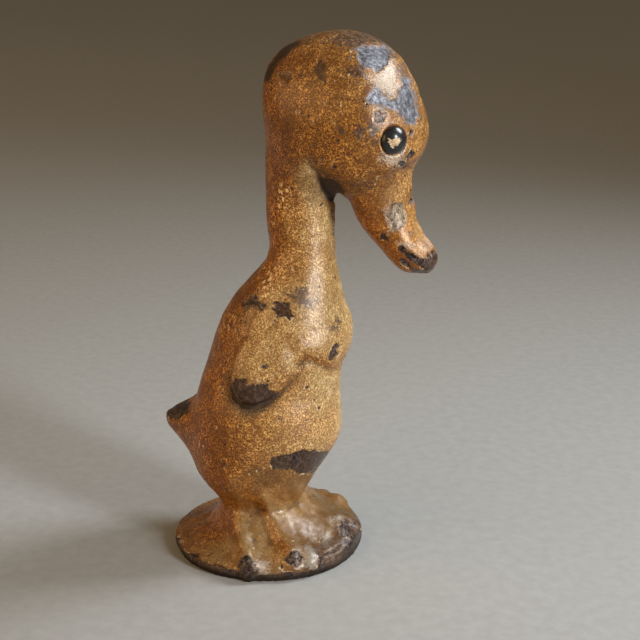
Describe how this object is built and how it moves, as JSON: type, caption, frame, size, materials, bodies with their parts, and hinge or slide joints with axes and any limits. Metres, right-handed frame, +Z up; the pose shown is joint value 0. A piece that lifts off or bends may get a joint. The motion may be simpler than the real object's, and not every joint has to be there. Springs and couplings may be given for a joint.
{
  "type": "paperweight",
  "caption": "Upright duckling paperweight: hollow iron half castings on a round base, with wings, webbed feet and domed eyes, held together by a cross screw.",
  "frame": {"origin": "middle of the face that the base rests on, on the plane where the half castings meet", "axes": "+X the way the bill points, +Y towards the figure's left, +Z up"},
  "size_m": [0.0635, 0.0452, 0.1196],
  "materials": {
    "paint": "worn semi-gloss gold-bronze paint over cast iron, chipped",
    "screw": "darkened steel",
    "enamel": "gloss black enamel, chipped"
  },
  "bodies": {
    "root": {"right_half": "paint", "left_half": "paint", "tie_screw": "screw", "right_eye": "enamel", "left_eye": "enamel"}
  },
  "joints": []
}
